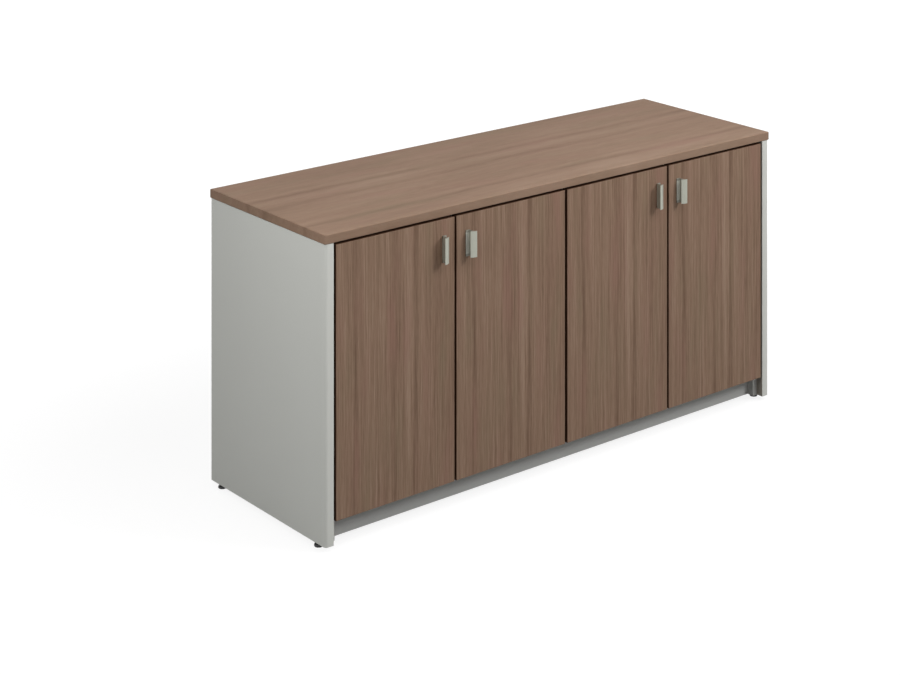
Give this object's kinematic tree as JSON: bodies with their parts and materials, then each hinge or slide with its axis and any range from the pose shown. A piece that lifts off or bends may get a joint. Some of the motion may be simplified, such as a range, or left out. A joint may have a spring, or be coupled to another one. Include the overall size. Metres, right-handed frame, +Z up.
{
  "type": "office credenza",
  "caption": "Low office credenza with a wood-grain top and hinged doors on grey end panels, bar pulls, shelves inside and levelling glides.",
  "frame": {"origin": "centre of the footprint on the floor, the pulls counted in the depth", "axes": "+X along the width, the doors face -Y, +Z up"},
  "size_m": [1.524, 0.524, 0.749],
  "materials": {
    "wood_grain": "matt brown wood-grain laminate",
    "grey_laminate": "matt light grey laminate",
    "grey_carcass": "matt grey melamine",
    "satin_aluminium": "satin anodised",
    "nickel_steel": "nickel plated",
    "dark_plastic": "matt dark grey"
  },
  "bodies": {
    "case": {"top_panel": "wood_grain", "end_panel_left": "grey_laminate", "end_panel_right": "grey_laminate", "carcass_side_left": "grey_carcass", "carcass_side_right": "grey_carcass", "centre_partition": "grey_carcass", "bottom_deck_left": "grey_carcass", "bottom_deck_right": "grey_carcass", "back_panel": "grey_carcass", "top_rail_front": "grey_carcass", "top_rail_rear": "grey_carcass", "kick_plate": "grey_laminate", "shelf_left": "grey_carcass", "shelf_right": "grey_carcass", "shelf_pin_left_outer_front": "nickel_steel", "shelf_pin_left_outer_rear": "nickel_steel", "shelf_pin_left_inner_front": "nickel_steel", "shelf_pin_left_inner_rear": "nickel_steel", "shelf_pin_right_outer_front": "nickel_steel", "shelf_pin_right_outer_rear": "nickel_steel", "shelf_pin_right_inner_front": "nickel_steel", "shelf_pin_right_inner_rear": "nickel_steel", "hinge_arm_left_outer_upper": "nickel_steel", "hinge_arm_left_outer_lower": "nickel_steel", "hinge_arm_left_inner_upper": "nickel_steel", "hinge_arm_left_inner_lower": "nickel_steel", "hinge_arm_right_inner_upper": "nickel_steel", "hinge_arm_right_inner_lower": "nickel_steel", "hinge_arm_right_outer_upper": "nickel_steel", "hinge_arm_right_outer_lower": "nickel_steel"},
    "door_left_outer": {"door_left_outer": "wood_grain", "handle_left_outer": "satin_aluminium", "hinge_cup_left_outer_upper": "nickel_steel", "hinge_cup_left_outer_lower": "nickel_steel"},
    "door_left_inner": {"door_left_inner": "wood_grain", "handle_left_inner": "satin_aluminium", "hinge_cup_left_inner_upper": "nickel_steel", "hinge_cup_left_inner_lower": "nickel_steel"},
    "door_right_inner": {"door_right_inner": "wood_grain", "handle_right_inner": "satin_aluminium", "hinge_cup_right_inner_upper": "nickel_steel", "hinge_cup_right_inner_lower": "nickel_steel"},
    "door_right_outer": {"door_right_outer": "wood_grain", "handle_right_outer": "satin_aluminium", "hinge_cup_right_outer_upper": "nickel_steel", "hinge_cup_right_outer_lower": "nickel_steel"},
    "levers_left_outer": {"hinge_lever_left_outer_upper": "nickel_steel", "hinge_lever_left_outer_lower": "nickel_steel"},
    "levers_left_inner": {"hinge_lever_left_inner_upper": "nickel_steel", "hinge_lever_left_inner_lower": "nickel_steel"},
    "levers_right_inner": {"hinge_lever_right_inner_upper": "nickel_steel", "hinge_lever_right_inner_lower": "nickel_steel"},
    "levers_right_outer": {"hinge_lever_right_outer_upper": "nickel_steel", "hinge_lever_right_outer_lower": "nickel_steel"},
    "glide_left_front": {"glide_left_front": "dark_plastic"},
    "glide_left_rear": {"glide_left_rear": "dark_plastic"},
    "glide_centre_front": {"glide_centre_front": "dark_plastic"},
    "glide_centre_rear": {"glide_centre_rear": "dark_plastic"},
    "glide_right_front": {"glide_right_front": "dark_plastic"},
    "glide_right_rear": {"glide_right_rear": "dark_plastic"}
  },
  "joints": [
    {"name": "door_left_outer_swing", "type": "hinge", "parent": "case", "child": "door_left_outer", "pos_m": [-0.7235, -0.23202, 0.3945], "axis": [0, 0, -1], "range_deg": [0, 105]},
    {"name": "door_left_inner_swing", "type": "hinge", "parent": "case", "child": "door_left_inner", "pos_m": [-0.01, -0.23202, 0.3945], "axis": [0, 0, 1], "range_deg": [0, 85]},
    {"name": "door_right_inner_swing", "type": "hinge", "parent": "case", "child": "door_right_inner", "pos_m": [0.01, -0.23202, 0.3945], "axis": [0, 0, -1], "range_deg": [0, 85]},
    {"name": "door_right_outer_swing", "type": "hinge", "parent": "case", "child": "door_right_outer", "pos_m": [0.7235, -0.23202, 0.3945], "axis": [0, 0, 1], "range_deg": [0, 105]},
    {"name": "levers_left_outer_turn", "type": "hinge", "parent": "case", "child": "levers_left_outer", "pos_m": [-0.7005, -0.22402, 0.3945], "axis": [0, 0, 1], "range_deg": [0, 47]},
    {"name": "levers_left_inner_turn", "type": "hinge", "parent": "case", "child": "levers_left_inner", "pos_m": [-0.033, -0.22402, 0.3945], "axis": [0, 0, -1], "range_deg": [0, 38.1]},
    {"name": "levers_right_inner_turn", "type": "hinge", "parent": "case", "child": "levers_right_inner", "pos_m": [0.033, -0.22402, 0.3945], "axis": [0, 0, 1], "range_deg": [0, 38.1]},
    {"name": "levers_right_outer_turn", "type": "hinge", "parent": "case", "child": "levers_right_outer", "pos_m": [0.7005, -0.22402, 0.3945], "axis": [0, 0, -1], "range_deg": [0, 47]},
    {"name": "glide_left_front_screw_out", "type": "slide", "parent": "case", "child": "glide_left_front", "axis": [0, 0, -1], "range_m": [0, 0.012]},
    {"name": "glide_left_rear_screw_out", "type": "slide", "parent": "case", "child": "glide_left_rear", "axis": [0, 0, -1], "range_m": [0, 0.012]},
    {"name": "glide_centre_front_screw_out", "type": "slide", "parent": "case", "child": "glide_centre_front", "axis": [0, 0, -1], "range_m": [0, 0.012]},
    {"name": "glide_centre_rear_screw_out", "type": "slide", "parent": "case", "child": "glide_centre_rear", "axis": [0, 0, -1], "range_m": [0, 0.012]},
    {"name": "glide_right_front_screw_out", "type": "slide", "parent": "case", "child": "glide_right_front", "axis": [0, 0, -1], "range_m": [0, 0.012]},
    {"name": "glide_right_rear_screw_out", "type": "slide", "parent": "case", "child": "glide_right_rear", "axis": [0, 0, -1], "range_m": [0, 0.012]}
  ],
  "couplings": [
    {"joint": "levers_left_outer_turn", "follows": "door_left_outer_swing", "ratio": 0.44724},
    {"joint": "levers_left_inner_turn", "follows": "door_left_inner_swing", "ratio": 0.44724},
    {"joint": "levers_right_inner_turn", "follows": "door_right_inner_swing", "ratio": 0.44724},
    {"joint": "levers_right_outer_turn", "follows": "door_right_outer_swing", "ratio": 0.44724}
  ]
}
